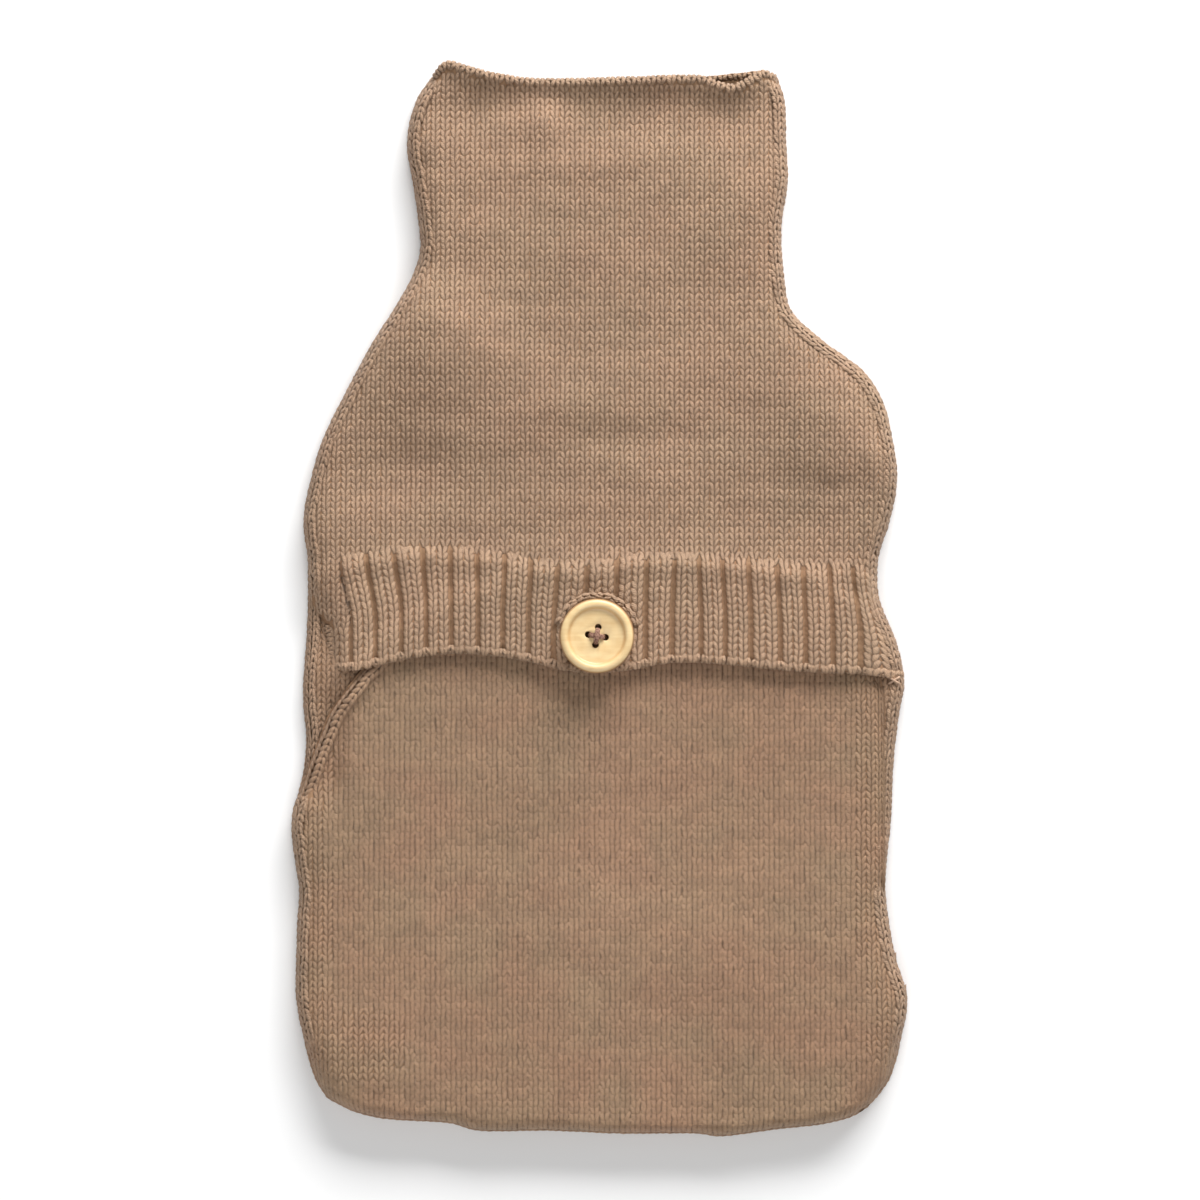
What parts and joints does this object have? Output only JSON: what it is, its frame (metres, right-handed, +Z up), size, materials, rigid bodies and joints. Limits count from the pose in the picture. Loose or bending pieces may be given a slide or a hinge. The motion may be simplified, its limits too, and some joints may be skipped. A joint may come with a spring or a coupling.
{
  "type": "knitted hot water bottle cover",
  "caption": "Empty knitted hot water bottle cover with an open neck and a ribbed flap held by one wooden button, lying flat on its back.",
  "frame": {"origin": "centre of the underside of the cover's bounding box, on the surface that it lies on", "axes": "+Y towards the open neck, +Z up out of the buttoned front, +X to the right as seen from above"},
  "size_m": [0.2101, 0.367, 0.0202],
  "materials": {
    "knit": "matte taupe stockinette knit",
    "rib_knit": "matte taupe knit, ribbed at the flap",
    "button_wood": "pale sanded wood",
    "thread": "brown sewing thread"
  },
  "bodies": {
    "root": {"back_panel": "knit", "lower_front": "knit", "upper_front": "rib_knit", "button": "button_wood", "button_thread": "thread"}
  },
  "joints": []
}
